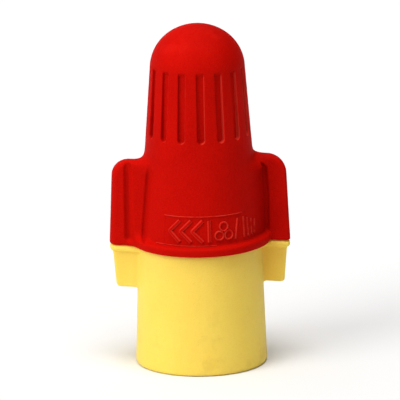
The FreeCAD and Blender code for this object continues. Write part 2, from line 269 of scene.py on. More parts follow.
class Value:
    """A number that a node tree works out; arithmetic on it adds the tree's nodes."""

    def __init__(self, tree, socket):
        self.tree = tree
        self.socket = socket

    def __add__(self, other):
        return self.tree.math("ADD", self, other)

    def __sub__(self, other):
        return self.tree.math("SUBTRACT", self, other)

    def __mul__(self, other):
        return self.tree.math("MULTIPLY", self, other)

    def __truediv__(self, other):
        return self.tree.math("DIVIDE", self, other)

    def __radd__(self, other):
        return self.tree.math("ADD", other, self)

    def __rsub__(self, other):
        return self.tree.math("SUBTRACT", other, self)

    def __rmul__(self, other):
        return self.tree.math("MULTIPLY", other, self)

    def __neg__(self):
        return self.tree.math("MULTIPLY", self, -1)

    def __abs__(self):
        return self.tree.math("ABSOLUTE", self)

    def below(self, limit):
        """1 where the number is under the limit, and 0 elsewhere."""
        return self.tree.math("LESS_THAN", self, limit)

    def ramp(self, start, end):
        """A smooth step from 0 at start to 1 at end."""
        settings = {"interpolation_type": "SMOOTHSTEP"}
        sockets = {"Value": self, "From Min": start, "From Max": end}
        return Value(self.tree, self.tree.node("ShaderNodeMapRange", settings, sockets).outputs["Result"])


class Tree:
    """Adds nodes to a node tree, for shapes and for finishes alike."""

    def __init__(self, tree):
        self.tree = tree

    def node(self, kind, settings=None, sockets=None):
        """A node of any kind: its settings first, then a number or a link for each socket named."""
        node = self.tree.nodes.new(kind)
        for name, setting in (settings or {}).items():
            setattr(node, name, setting)
        for name, given in (sockets or {}).items():
            self.feed(node.inputs[name], given)
        return node

    def feed(self, socket, given):
        if isinstance(given, Value):
            self.tree.links.new(given.socket, socket)
        elif isinstance(given, bpy.types.NodeSocket):
            self.tree.links.new(given, socket)
        else:
            socket.default_value = given

    def math(self, operation, *numbers):
        node = self.node("ShaderNodeMath", {"operation": operation})
        for socket, number in zip(node.inputs, numbers):
            self.feed(socket, number)
        return Value(self, node.outputs[0])

    def root(self, number):
        return self.math("SQRT", number)

    def larger(self, one, other):
        return self.math("MAXIMUM", one, other)

    def smaller(self, one, other):
        return self.math("MINIMUM", one, other)

    def far(self, one, other):
        """Length of the hypotenuse."""
        return self.root(one * one + other * other)

    def mix(self, first, second, share):
        return first + (second - first) * share


class ShapeTree(Tree):
    """A geometry node tree whose sizes are named inputs."""

    def __init__(self, name):
        super().__init__(bpy.data.node_groups.new(name, "GeometryNodeTree"))
        self.tree.is_modifier = True
        self.given = []
        self.entry = self.tree.nodes.new("NodeGroupInput")

    def size(self, name, number):
        whole = isinstance(number, int)
        kind = "NodeSocketInt" if whole else "NodeSocketFloat"
        socket = self.tree.interface.new_socket(name=name, in_out="INPUT", socket_type=kind)
        self.given.append((socket.identifier, number))
        outlet = next(item for item in self.entry.outputs if item.identifier == socket.identifier)
        return Value(self, outlet)

    def drawing(self, name):
        """The lines that the tree's own object holds; asked for before any size."""
        socket = self.tree.interface.new_socket(name=name, in_out="INPUT", socket_type="NodeSocketGeometry")
        return next(item for item in self.entry.outputs if item.identifier == socket.identifier)

    def close(self, geometry, finish):
        """Shade, realize, give the finish and hand the geometry out."""
        shaded = self.node("GeometryNodeSetShadeSmooth", None, {
            "Geometry": geometry, "Shade Smooth": True})
        real = self.node("GeometryNodeRealizeInstances", None, {"Geometry": shaded.outputs[0]})
        coated = self.node("GeometryNodeSetMaterial", None, {
            "Geometry": real.outputs[0], "Material": finish})
        self.tree.interface.new_socket(name="Geometry", in_out="OUTPUT", socket_type="NodeSocketGeometry")
        way_out = self.tree.nodes.new("NodeGroupOutput")
        self.tree.links.new(coated.outputs[0], way_out.inputs[0])

    def piece(self, name, drawing=None):
        """The tree's result as a plain mesh object at the origin."""
        piece = bpy.data.objects.new(name, drawing or bpy.data.meshes.new(name))
        bpy.context.scene.collection.objects.link(piece)
        modifier = piece.modifiers.new(name, "NODES")
        modifier.node_group = self.tree
        for identifier, number in self.given:
            modifier[identifier] = number
        graph = bpy.context.evaluated_depsgraph_get()
        mesh = bpy.data.meshes.new_from_object(piece.evaluated_get(graph), depsgraph=graph)
        piece.modifiers.clear()
        piece.data = mesh
        mesh.name = name
        return piece


class SolidTree(ShapeTree):
    """A shape tree that works a solid out from its distance field: below 0 inside, above 0 outside."""

    def __init__(self, name):
        super().__init__(name)
        place = self.node("GeometryNodeInputPosition")
        split = self.node("ShaderNodeSeparateXYZ", None, {0: place.outputs[0]})
        self.x, self.y, self.z = (Value(self, outlet) for outlet in split.outputs)
        self.r = self.far(self.x, self.y)

    def noise(self, scale):
        """Soft noise, about 0.5 on average, with scale bumps to the millimetre."""
        noise = self.node("ShaderNodeTexNoise", None, {"Scale": scale, "Detail": 1.0})
        return Value(self, noise.outputs[0])

    def both(self, one, other, rounding):
        """What lies in both solids, with the edge between them rounded."""
        inner = one + rounding
        outer = other + rounding
        corner = self.far(self.larger(inner, 0), self.larger(outer, 0))
        return corner + self.smaller(self.larger(inner, outer), 0) - rounding

    def blend(self, one, other, reach):
        """Both solids together, with a fillet between them."""
        return self.math("SMOOTH_MIN", one, other, reach)

    def carve(self, one, other, reach):
        """One solid without the other, with its new edges eased."""
        return self.math("SMOOTH_MAX", one, -other, reach)

    def mesh(self, solid, low, high, grain):
        """The solid's surface inside a box, sampled every grain millimetres, in metres."""
        counts = [int(round((top - bottom) / grain)) for bottom, top in zip(low, high)]
        sockets = {"Density": -solid, "Background": -1.0, "Min": low, "Max": high}
        for axis, count in zip("XYZ", counts):
            sockets["Resolution " + axis] = count
        cube = self.node("GeometryNodeVolumeCube", None, sockets)
        skin = self.node("GeometryNodeVolumeToMesh", None, {"Volume": cube.outputs[0], "Threshold": 0.0})
        scaled = self.node("GeometryNodeTransform", None, {
            "Geometry": skin.outputs[0], "Scale": (MM, MM, MM)})
        return scaled.outputs[0]


# ================================================================ shapes

def cone_solid(t, base_radius):
    """Everything inside the long cone."""
    return (t.r - (base_radius - (t.z - COVER_BASE) * math.tan(TAPER))) * math.cos(TAPER)


def panel_share(t):
    """1 on the marking panels between the wings, 0 off them."""
    turn = t.math("ARCTAN2", t.x, -t.y)
    aside = abs(t.math("WRAP", turn - PANEL_TURN, HALF_TURN / 2, -HALF_TURN / 2))
    tall = t.z.ramp(PANEL_LOW - PANEL_EASE, PANEL_LOW + PANEL_EASE) * (
        1 - t.z.ramp(PANEL_HIGH - PANEL_EASE, PANEL_HIGH + PANEL_EASE))
    return tall * (1 - aside.ramp(PANEL_SWEEP / 2 - PANEL_SIDE_EASE, PANEL_SWEEP / 2))


def dome_solid(t):
    base_radius = t.size("Base radius", BASE_RADIUS)
    cone = cone_solid(t, base_radius) + panel_share(t) * PANEL_DEPTH
    shoulder = t.far(t.r - SHOULDER_CENTRE, t.z - SHOULDER_LEVEL) - SHOULDER_RADIUS
    cap = t.far(t.r, t.z - (TOP - CAP_RADIUS)) - CAP_RADIUS
    rounded = t.mix(shoulder, cap, t.r.below(CAP_EDGE))
    return t.mix(rounded, cone, t.z.below(SHOULDER_START))


def seat_solid(t):
    """The part of the shell that the cover is moulded on."""
    cone = cone_solid(t, BASE_RADIUS - SEAT_INSET)
    return t.both(cone, t.z - SHELL_TOP, SHELL_CORNER)


def wing_frame(t):
    """Distance out from the axis, and across a wing towards its driving face, the same for both wings."""
    side = t.math("SIGN", t.x)
    out = abs(t.x)
    turned = t.y * side
    across = (out - WING_CROSSING) * math.sin(WING_LEAN) + turned * math.cos(WING_LEAN)
    return out, across


def wing_faces(out, across, wall):
    half = (WING_REACH - out) * WING_SPREAD + (WING_TIP_HALF - wall)
    return abs(across) - half


def wing_edge(t, out, wall):
    """The free edge, which leans in above the cover's base and more so below it."""
    above = (WING_REACH - wall) - (t.z - COVER_BASE) * math.tan(WING_DRAFT)
    below = (WING_REACH - (CORE_STEP if wall > 0 else 0)) - (COVER_BASE - t.z) * math.tan(CORE_DRAFT)
    return (out - t.mix(above, below, t.z.below(COVER_BASE))) * math.cos(WING_DRAFT)


def wing_solid(t, out, across, wall):
    """Both wings, thinned by a wall on every side."""
    outline = t.both(wing_edge(t, out, wall), t.z - (WING_TOP - wall * CORE_TOP_WALLS), WING_CORNER - wall)
    if wall > 0:
        outline = t.both(outline, CORE_FOOT - t.z, CORE_CORNER)
    return t.both(outline, wing_faces(out, across, wall), max(WING_EDGE_ROUND - wall, CORE_EDGE_ROUND))


def flute_solid(t):
    """What the flutes take away: slots with round feet, evenly round the neck."""
    count = t.size("Flute count", float(FLUTE_COUNT))
    half = t.size("Flute half width", FLUTE_HALF)
    foot = t.size("Flute foot", FLUTE_FOOT)
    turn = t.math("ARCTAN2", t.x, -t.y)
    half_step = t.math("DIVIDE", HALF_TURN, count)
    near = t.math("WRAP", turn + FLUTE_TURN, half_step, -half_step)
    aside = t.r * t.math("SINE", near)
    outward = t.r * t.math("COSINE", near)
    drop = t.larger(foot + half - t.z, 0)
    slot = t.far(aside, drop) - half
    floor = (cone_radius(FLUTE_FOOT) - FLUTE_DEPTH) - (t.z - foot) * math.tan(FLUTE_TILT)
    runout = cone_radius(FLUTE_HEAD) - (FLUTE_HEAD - t.z) * FLUTE_RUNOUT
    return t.both(slot, t.larger(floor, runout) - outward, FLUTE_FLOOR_ROUND)


def upright_channel(t, one, other, radius, foot, head):
    """A round channel where two distances are both 0, ending in round ends at two levels."""
    past = t.larger(foot - t.z, 0) + t.larger(t.z - head, 0) * CHANNEL_FADE
    return t.far(t.far(one, other), past) - radius


def fuller(t, out, round_side, circle, start_radius, low):
    """A round side, fuller than its circle in front of each wing's trailing face, as a wider arc there."""
    turned = t.y * t.math("SIGN", t.x)
    shift = circle - start_radius
    wide = t.far(out + shift * math.sin(SWELL_TURN), turned - shift * math.cos(SWELL_TURN)) - circle
    past = out * math.cos(SWELL_TURN) + turned * math.sin(SWELL_TURN)
    share = past.ramp(0, SWELL_START) * turned.below(0) * (1 - t.z.ramp(low, SWELL_TOP))
    return t.smaller(round_side, t.mix(round_side, wide, share))


def with_wings(t, out, across, body):
    """The fluted body with both wings, in fillets that are tight behind a wing and wide over its top."""
    fluted = t.carve(body, flute_solid(t), FLUTE_EDGE_EASE)
    wings = wing_solid(t, out, across, 0.0)
    beside = t.mix(TRAILING_FILLET, DRIVING_FILLET, across.ramp(*SIDE_FILLET_ACROSS))
    fillet = t.mix(beside, TOP_FILLET, t.z.ramp(*TOP_FILLET_LEVELS))
    return t.blend(fluted, wings, fillet)


def with_lip(t, out, across, whole):
    """The cover with its lip, which runs wide into each wing's driving face."""
    plan = fuller(t, out, t.r - LIP_RADIUS, LIP_SWELL_RADIUS, LIP_RADIUS, SWELL_TOP - SWELL_FADE)
    lip = t.both(plan, abs(t.z - COVER_BASE) - LIP_HEIGHT, LIP_ROUND)
    beside = across.ramp(*LIP_WING_ACROSS) * out.ramp(*LIP_WING_OUT)
    return t.blend(whole, lip, t.mix(LIP_FILLET, LIP_WING_FILLET, beside))


def with_channels(t, out, across, body, whole):
    """The cover with a crease and a groove on each driving face, and a valley by each trailing face."""
    aside = out - (CREASE_OUT - (t.z - COVER_BASE) * CREASE_LEAN)
    crease = upright_channel(t, aside, whole - CREASE_OFF, CREASE_RADIUS, CREASE_FOOT, CREASE_HEAD)
    whole = t.carve(whole, crease + t.larger(-across, 0) * CHANNEL_SIDE_FADE, CREASE_EASE)
    behind = wing_faces(out, across, 0.0) - VALLEY_OFF
    valley = upright_channel(t, body - VALLEY_OFF, behind, VALLEY_RADIUS, VALLEY_FOOT, VALLEY_HEAD)
    whole = t.carve(whole, valley + t.larger(across, 0) * CHANNEL_SIDE_FADE, VALLEY_EASE)
    face = across - ((WING_REACH - out) * WING_SPREAD + WING_TIP_HALF)
    deep = face - (GROOVE_RADIUS - GROOVE_DEPTH)
    groove = upright_channel(t, out - GROOVE_OUT, deep, GROOVE_RADIUS, GROOVE_FOOT, GROOVE_HEAD)
    return t.carve(whole, groove, GROOVE_EASE)


def cover_solid(t):
    out, across = wing_frame(t)
    tapered = t.smaller(SWELL_BODY, BASE_RADIUS - (t.z - COVER_BASE) * math.tan(TAPER))
    body = fuller(t, out, dome_solid(t), SWELL_RADIUS, tapered, SWELL_TOP - SWELL_FADE)
    whole = with_lip(t, out, across, with_wings(t, out, across, body))
    whole = with_channels(t, out, across, body, whole)
    wave = t.noise(FOOT_WAVES).ramp(*FOOT_WAVE_NOISE) * out.ramp(*FOOT_WAVE_OUT) * FOOT_WAVE_HEIGHT
    whole = t.both(whole, wave + (COVER_BASE - t.z), COVER_EDGE_ROUND)
    core = wing_solid(t, out, across, WING_WALL)
    return t.larger(whole, -t.smaller(seat_solid(t), core))


def cover_body(finish):
    t = SolidTree("cover_shape")
    low = (-WING_REACH - MARGIN, -LIP_RADIUS - MARGIN, COVER_BASE - MARGIN)
    high = (WING_REACH + MARGIN, LIP_RADIUS + MARGIN, TOP + MARGIN)
    t.close(t.mesh(cover_solid(t), low, high, COVER_GRAIN), finish)
    return thinned(t.piece("cover_body"), PIECE_TRIANGLES)


def wire_way(t):
    """The hollow of the shell: wire entry, funnel and the ribbed pocket, whose walls lean a little."""
    mouth = BASE_RADIUS - SEAT_INSET - POCKET_WALL
    pocket = mouth - (t.z - COVER_BASE) * math.tan(TAPER)
    slope = (ENTRY_RADIUS - mouth) / (COVER_BASE - ENTRY_DEPTH)
    funnel = ENTRY_RADIUS - (t.z - ENTRY_DEPTH) * slope
    turn = t.math("ARCTAN2", t.x, -t.y)
    near = abs(t.math("WRAP", turn, HALF_TURN / RIB_COUNT, -HALF_TURN / RIB_COUNT))
    gaps = 1 - near.ramp(RIB_GAP - RIB_SIDE, RIB_GAP + RIB_SIDE)
    ribbed = pocket + gaps * t.z.ramp(COVER_BASE - RIB_RUNOUT, COVER_BASE) * RIB_DEPTH
    wall = t.larger(ribbed, t.smaller(funnel, ENTRY_RADIUS)) + t.larger(ENTRY_CHAMFER - t.z, 0)
    return t.larger((t.r - wall) * WAY_LEAN, t.z - POCKET_TOP)


def shell_solid(t):
    out, across = wing_frame(t)
    flare = (RIM_RADIUS - SKIRT_TOP_RADIUS) / COVER_BASE
    skirt = t.r - (SKIRT_TOP_RADIUS + (COVER_BASE - t.z) * flare)
    skirt = t.both(t.both(skirt, -t.z, RIM_ROUND), t.z - COVER_BASE, SKIRT_TOP_ROUND)
    whole = t.smaller(skirt, t.larger(seat_solid(t), ENTRY_DEPTH - t.z))
    core = wing_solid(t, out, across, WING_WALL)
    whole = t.blend(whole, core, CORE_FILLET)
    plan = t.both(wing_edge(t, out, 0.0), wing_faces(out, across, 0.0), WING_EDGE_ROUND)
    middle = COVER_BASE - FLANGE / 2
    flange = t.both(plan, abs(t.z - middle) - FLANGE / 2, FLANGE_ROUND)
    whole = t.blend(whole, flange, FLANGE_FILLET)
    return t.both(whole, -wire_way(t), WAY_EDGE_ROUND)


def shell_body(finish):
    t = SolidTree("shell_shape")
    low = (-WING_REACH - MARGIN, -RIM_RADIUS - MARGIN, -MARGIN)
    high = (WING_REACH + MARGIN, RIM_RADIUS + MARGIN, SHELL_TOP + MARGIN)
    t.close(t.mesh(shell_solid(t), low, high, SHELL_GRAIN), finish)
    return thinned(t.piece("shell_body"), PIECE_TRIANGLES)


def thinned(piece, limit):
    """The piece with its mesh reduced to at most a number of triangles."""
    triangles = sum(len(face.vertices) - 2 for face in piece.data.polygons)
    if triangles <= limit:
        return piece
    modifier = piece.modifiers.new("thin", "DECIMATE")
    modifier.ratio = limit / triangles
    graph = bpy.context.evaluated_depsgraph_get()
    mesh = bpy.data.meshes.new_from_object(piece.evaluated_get(graph), depsgraph=graph)
    piece.modifiers.clear()
    piece.data = mesh
    mesh.name = piece.name
    return piece


def spring_wire(finish):
    """Square wire wound on a cone, right-handed, with one corner towards the axis."""
    t = ShapeTree("spring_shape")
    half = t.size("Wire half diagonal", WIRE_HALF)
    turns = t.size("Turns", SPRING_TURNS)
    foot = spring_low.z + WIRE_HALF
    rise = spring_high.z - spring_low.z - 2 * WIRE_HALF
    sockets = {
        "Resolution": SPRING_STEPS,
        "Rotations": turns,
        "Start Radius": t.size("Foot radius", SPRING_FOOT_RADIUS),
        "End Radius": t.size("Head radius", SPRING_FOOT_RADIUS - rise * math.tan(TAPER)),
        "Height": t.size("Rise", rise),
    }
    coil = t.node("GeometryNodeCurveSpiral", None, sockets)
    section = t.node("GeometryNodeCurvePrimitiveCircle", None, {"Resolution": 4, "Radius": half})
    eased = t.node("GeometryNodeFilletCurve", {"mode": "POLY"}, {
        "Curve": section.outputs[0], "Radius": WIRE_EDGE, "Limit Radius": True, "Count": WIRE_EDGE_STEPS})
    wire = t.node("GeometryNodeCurveToMesh", None, {
        "Curve": coil.outputs[0], "Profile Curve": eased.outputs[0], "Fill Caps": True})
    placed = t.node("GeometryNodeTransform", None, {
        "Geometry": wire.outputs[0], "Translation": (0, 0, foot * MM), "Scale": (MM, MM, MM)})
    t.close(placed.outputs[0], finish)
    return t.piece("spring_wire")


# ---------------------------------------------------------------- raised marks

def arc_line(middle, radius, count):
    """Points round a circle."""
    turns = [FULL_TURN * index / count for index in range(count)]
    return [(middle[0] + radius * math.cos(turn), middle[1] + radius * math.sin(turn)) for turn in turns]


def bold_lines():
    """Heavy relief: chevrons that point the way that tightens, and a bar behind them."""
    lines = []
    middle = (BOLD_FOOT + BOLD_HEAD) / 2
    for step in range(CHEVRON_COUNT):
        tip = CHEVRON_START + step * CHEVRON_STEP
        tail = tip + CHEVRON_LENGTH
        lines.append(([(tail, BOLD_HEAD), (tip, middle), (tail, BOLD_FOOT)], False))
    lines.append(([(BAR_ALONG, BOLD_HEAD), (BAR_ALONG, BOLD_FOOT)], False))
    return lines


def fine_lines():
    """Thin relief: a bundle of three wires, a stroke and a strip gauge."""
    lines = [(arc_line(middle, BUNDLE_WIRE, BUNDLE_POINTS), True) for middle in BUNDLE]
    lines.append(([(STROKE_ALONG, FINE_FOOT), STROKE_HEAD], False))
    for step, head in enumerate(GAUGE_HEADS):
        along = GAUGE_START + step * GAUGE_STEP
        lines.append(([(along, FINE_FOOT), (along, head)], False))
    return lines


def witness_lines():
    """The mould's hairlines along the panel's top and foot."""
    return [(TOP_HAIR, False), (FOOT_HAIR, False)]


def relief(name, lines, half_width, height, cover, finish):
    """Round strokes drawn flat, as length along the panel and height up it, and laid on the cover twice."""
    drawing = bpy.data.meshes.new(name)
    points = []
    edges = []
    for line, closed in lines:
        first = len(points)
        points += [(along, up, 0) for along, up in line]
        edges += [(first + index, first + index + 1) for index in range(len(line) - 1)]
        if closed:
            edges.append((first + len(line) - 1, first))
    drawing.from_pydata(points, edges, [])
    t = ShapeTree(name + "_shape")
    strokes = t.drawing("Strokes")
    width = t.size("Half width", half_width)
    lift = t.size("Height", height)
    lines_out = t.node("GeometryNodeMeshToCurve", None, {"Mesh": strokes})
    fine = t.node("GeometryNodeResampleCurve", {"mode": "LENGTH"}, {
        "Curve": lines_out.outputs[0], "Length": STROKE_STEP})
    section = t.node("GeometryNodeCurvePrimitiveCircle", None, {"Resolution": MARK_SIDES, "Radius": width})
    tube = t.node("GeometryNodeCurveToMesh", None, {
        "Curve": fine.outputs[0], "Profile Curve": section.outputs[0], "Fill Caps": True})
    flat = t.node("GeometryNodeInputPosition")
    split = t.node("ShaderNodeSeparateXYZ", None, {0: flat.outputs[0]})
    along, up, out = (Value(t, outlet) for outlet in split.outputs)
    turn = along / MARK_RADIUS + MARK_START
    level = up + PANEL_LOW
    sine = t.math("SINE", turn)
    cosine = t.math("COSINE", turn)
    start = t.node("ShaderNodeCombineXYZ", None, {
        "X": sine * (MM * FAR_OUT), "Y": cosine * (-MM * FAR_OUT), "Z": level * MM})
    inward = t.node("ShaderNodeCombineXYZ", None, {"X": -sine, "Y": cosine, "Z": 0.0})
    target = t.node("GeometryNodeObjectInfo", None, {"Object": cover})
    ray = t.node("GeometryNodeRaycast", None, {
        "Target Geometry": target.outputs["Geometry"], "Source Position": start.outputs[0],
        "Ray Direction": inward.outputs[0], "Ray Length": FAR_OUT * MM})
    risen = t.node("ShaderNodeVectorMath", {"operation": "SCALE"}, {
        0: ray.outputs["Hit Normal"], "Scale": out / width * lift * MM})
    placed = t.node("ShaderNodeVectorMath", {"operation": "ADD"}, {
        0: ray.outputs["Hit Position"], 1: risen.outputs[0]})
    laid = t.node("GeometryNodeSetPosition", None, {
        "Geometry": tube.outputs[0], "Position": placed.outputs[0]})
    behind = t.node("GeometryNodeTransform", None, {
        "Geometry": laid.outputs[0], "Rotation": (0, 0, HALF_TURN)})
    both = t.node("GeometryNodeJoinGeometry")
    t.tree.links.new(laid.outputs[0], both.inputs[0])
    t.tree.links.new(behind.outputs[0], both.inputs[0])
    t.close(both.outputs[0], finish)
    return t.piece(name, drawing)


# ================================================================ finishes
# a pair is where a soft step starts and ends, in noise or in millimetres

NOISE_MEAN = 0.5
NOISE_ROUGHNESS = 0.55
CHOSEN_SPECKS = (0.78, 0.82)
# the flutes' rims, where a painted highlight and painted shade go
RIM_LINE = (0.015, 0.05)
RIM_SIDES = (-0.2, 0.1)
RIM_FOOT_FADE = 0.4
RIM_HEAD_FADE = 0.5
# the heavy marks' shoulders, where a pale painted highlight goes, partly rub wear
SHOULDER_LOW = (-0.045, 0.0)
SHOULDER_HIGH = (0.09, 0.13)
# where shade is painted in the corner by each wing's trailing face
VALLEY_SHADE_REACH = (0.2, 3.4)
VALLEY_SHADE_FOOT = (COVER_BASE + 0.7, COVER_BASE + 1.2)
VALLEY_SHADE_HEAD = (WING_TOP - 1.8, WING_TOP - 0.4)
VALLEY_SHADE_OUT = (6.45, 6.8)
# where shade is painted in the creases and grooves of the wings' driving faces
CHANNEL_SHADE_ASIDE = 0.12
CHANNEL_SHADE_GROOVE = (0.1, 0.3)
CHANNEL_SHADE_CREASE_ASIDE = 0.06
CHANNEL_SHADE_CREASE = (0.05, 0.2)
CHANNEL_SHADE_FOOT = (GROOVE_FOOT - 0.3, GROOVE_FOOT)
CHANNEL_SHADE_HEAD = (GROOVE_HEAD - 0.2, GROOVE_HEAD + 0.8)
CHANNEL_SHADE_ACROSS = (0.3, 0.5)
# levels of the painted highlight on the dome top
DOME_HIGHLIGHT_LEVELS = (TOP - 4.5, TOP - 1.5)
HANDLED_LEVELS = (2.0, 9.0)
RED_ROUGHNESS = 0.56
RED_RELIEF = 0.035
YELLOW_ROUGHNESS = 0.46
YELLOW_RELIEF = 0.03
YELLOW_GLOW = 0.25
YELLOW_GLOW_REACH = 1.5
YELLOW_GLOW_COLOUR = (1.0, 0.6, 0.2)
STEEL_ROUGHNESS = 0.28
STEEL_RELIEF = 0.012
STEEL_LINES = 14
STEEL_LINE_LENGTH = 1.2


class FinishTree(Tree):
    """A finish: one shader, with patterns in millimetres on the piece."""

    def __init__(self, name):
        self.material = bpy.data.materials.new(name)
        self.material.use_nodes = True
        super().__init__(self.material.node_tree)
        self.tree.nodes.clear()
        self.shader = self.node("ShaderNodeBsdfPrincipled")
        way_out = self.node("ShaderNodeOutputMaterial")
        self.tree.links.new(self.shader.outputs[0], way_out.inputs[0])
        coordinates = self.node("ShaderNodeTexCoord")
        scaled = self.node("ShaderNodeVectorMath", {"operation": "SCALE"}, {
            0: coordinates.outputs["Object"], "Scale": 1 / MM})
        self.place = scaled.outputs[0]
        split = self.node("ShaderNodeSeparateXYZ", None, {0: self.place})
        self.x, self.y, self.z = (Value(self, outlet) for outlet in split.outputs)
        self.r = self.far(self.x, self.y)
        self.turn = self.math("ARCTAN2", self.x, -self.y)

    def set(self, **sockets):
        for name, given in sockets.items():
            self.feed(self.shader.inputs[name.replace("_", " ")], given)

    def cloud(self, scale, detail=3.0, stretch=(1, 1, 1), spot=None):
        """Soft noise, about 0.5 on average, with scale bumps to the millimetre."""
        drawn = self.node("ShaderNodeVectorMath", {"operation": "MULTIPLY"}, {
            0: spot or self.place, 1: stretch})
        noise = self.node("ShaderNodeTexNoise", None, {
            "Vector": drawn.outputs[0], "Scale": scale, "Detail": detail, "Roughness": NOISE_ROUGHNESS})
        return Value(self, noise.outputs[0])

    def specks(self, scale, radius):
        """1 on small scattered specks, 0 between them."""
        cells = self.node("ShaderNodeTexVoronoi", None, {
            "Vector": self.place, "Scale": scale, "Randomness": 1.0})
        chosen = self.node("ShaderNodeSeparateColor", None, {0: cells.outputs["Color"]})
        small = 1 - Value(self, cells.outputs["Distance"]).ramp(radius * 0.5, radius)
        return small * Value(self, chosen.outputs[0]).ramp(*CHOSEN_SPECKS)

    def shade(self, share, first, second):
        """One colour going over into another."""
        sockets = {0: share, 6: first, 7: second}
        return self.node("ShaderNodeMix", {"data_type": "RGBA"}, sockets).outputs[2]

    def tint(self, colour, over, where, strength):
        """A colour laid thinly over another where a pattern is 1."""
        return self.shade(where * strength, colour, over)

    def swing(self, noise, amount):
        """A noise's swing about its average."""
        return (noise - NOISE_MEAN) * amount

    def relief(self, height, depth):
        """The surface's own small bumps, as a height from 0 to 1 and a depth in millimetres."""
        bump = self.node("ShaderNodeBump", None, {
            "Height": height, "Distance": depth * MM, "Strength": 1.0})
        self.set(Normal=bump.outputs[0])


def flute_rim_light_and_shade(t):
    """Masks along the flutes' sharp rims: a painted highlight on the rim and foot that face the light, and
    painted shade on the other rim.
    """
    near = t.math("WRAP", t.turn + FLUTE_TURN, HALF_TURN / FLUTE_COUNT, -HALF_TURN / FLUTE_COUNT)
    aside = t.r * near
    drop = t.larger(FLUTE_FOOT + FLUTE_HALF - t.z, 0)
    off = abs(t.far(aside, drop) - FLUTE_HALF)
    foot = t.z.ramp(FLUTE_FOOT - RIM_FOOT_FADE, FLUTE_FOOT)
    head = 1 - t.z.ramp(FLUTE_HEAD - RIM_HEAD_FADE, FLUTE_HEAD)
    line = (1 - off.ramp(*RIM_LINE)) * foot * head
    # the side facing the light gets the painted highlight, the other side the painted shade
    lit_side = aside.ramp(*RIM_SIDES)
    return line * lit_side, line * (1 - lit_side)


def mark_shoulder_highlight_and_wear(t):
    """1 on the shoulders of the heavy marks, which go pale: a painted highlight, partly rub wear."""
    proud = t.r - (CONE_AT_ORIGIN - t.z * math.tan(TAPER))
    return proud.ramp(*SHOULDER_LOW) * (1 - proud.ramp(*SHOULDER_HIGH))


def fine_mark_highlight_and_wear(t):
    """Thin marks go pale nearly all over: a painted highlight, partly rub wear."""
    return t.cloud(2.0, 2.0).ramp(0.2, 0.6)


def painted_valley_shade(t):
    """1 towards the corner by each wing's trailing face, where shade is painted."""
    out, across = wing_frame(t)
    near = 1 - wing_faces(out, across, 0.0).ramp(*VALLEY_SHADE_REACH)
    tall = t.z.ramp(*VALLEY_SHADE_FOOT) * (1 - t.z.ramp(*VALLEY_SHADE_HEAD))
    return near * tall * across.below(0) * (1 - out.ramp(*VALLEY_SHADE_OUT))


def painted_channel_shade(t):
    """1 deep in the creases and grooves on the wings' driving faces, where shade is painted."""
    out, across = wing_frame(t)
    groove = 1 - abs(out - (GROOVE_OUT + CHANNEL_SHADE_ASIDE)).ramp(*CHANNEL_SHADE_GROOVE)
    crease_out = CREASE_OUT + CHANNEL_SHADE_CREASE_ASIDE - (t.z - COVER_BASE) * CREASE_LEAN
    crease = 1 - abs(out - crease_out).ramp(*CHANNEL_SHADE_CREASE)
    tall = t.z.ramp(*CHANNEL_SHADE_FOOT) * (1 - t.z.ramp(*CHANNEL_SHADE_HEAD))
    return t.larger(groove, crease) * tall * across.ramp(*CHANNEL_SHADE_ACROSS)


def soft_red(name, highlight_and_wear=None):
    """Matte moulded elastomer: deep red, finely grained, with painted highlights on the flutes' lit rims,
    on the dome top and on the marks (partly rub wear on the marks), and painted shade along the flutes'
    other rims, in the wing channels and by each wing's trailing face.
    """
    t = FinishTree(name)
    broad = t.cloud(scale=0.22, detail=4.0)
    grain = t.cloud(scale=7.0, detail=2.0)
    pores = t.cloud(scale=17.0, detail=1.0)
    streaks = t.cloud(scale=1.1, detail=4.0, stretch=(1.6, 1.6, 0.16))
    lit_side, trailing = flute_rim_light_and_shade(t)
    # painted highlight along the flutes' rims and feet that face the light
    rim_highlight = lit_side * t.cloud(scale=0.5, detail=2.0).ramp(0.1, 0.5)
    # painted highlight in patches on the dome top
    dome_highlight = t.cloud(scale=0.42, detail=4.0) * t.z.ramp(*DOME_HIGHLIGHT_LEVELS)
    handled = streaks.ramp(0.56, 0.78) * t.cloud(scale=0.3, detail=2.0).ramp(0.42, 0.7)
    colour = t.shade(broad.ramp(0.3, 0.7), RED_DEEP, RED_FULL)
    colour = t.tint(colour, RED_PALE, grain.ramp(0.35, 0.75), strength=0.3)
    colour = t.tint(colour, RED_DARK, 1 - pores.ramp(0.3, 0.5), strength=0.3)
    colour = t.tint(colour, RED_PALE, handled, strength=0.28)
    colour = t.tint(colour, RED_HIGHLIGHT_AND_WEAR, rim_highlight, strength=0.42)
    # painted shade along the flutes' rims that face away from the light
    colour = t.tint(colour, RED_DARK, trailing, strength=0.4)
    # painted shade in the creases and grooves of the wings' driving faces
    colour = t.tint(colour, RED_DARK, painted_channel_shade(t), strength=0.4)
    # painted shade in the corner by each wing's trailing face
    colour = t.tint(colour, RED_DARK, painted_valley_shade(t), strength=0.55)
    # pale painted highlight on the marks, partly rub wear
    if highlight_and_wear:
        colour = t.tint(colour, RED_HIGHLIGHT_AND_WEAR, highlight_and_wear(t), strength=0.36)
    colour = t.tint(colour, RED_DOME_HIGHLIGHT, dome_highlight.ramp(0.42, 0.7), strength=0.3)
    colour = t.tint(colour, RED_DARK, t.specks(scale=1.1, radius=0.07), strength=0.6)
    t.set(Base_Color=colour)
    t.set(Roughness=RED_ROUGHNESS + t.swing(broad, 0.16) + t.swing(grain, 0.2) - handled * 0.1)
    t.set(IOR=RED_IOR)
    t.relief(grain * 0.55 + pores * 0.3 + streaks * 0.15, RED_RELIEF)
    return t.material


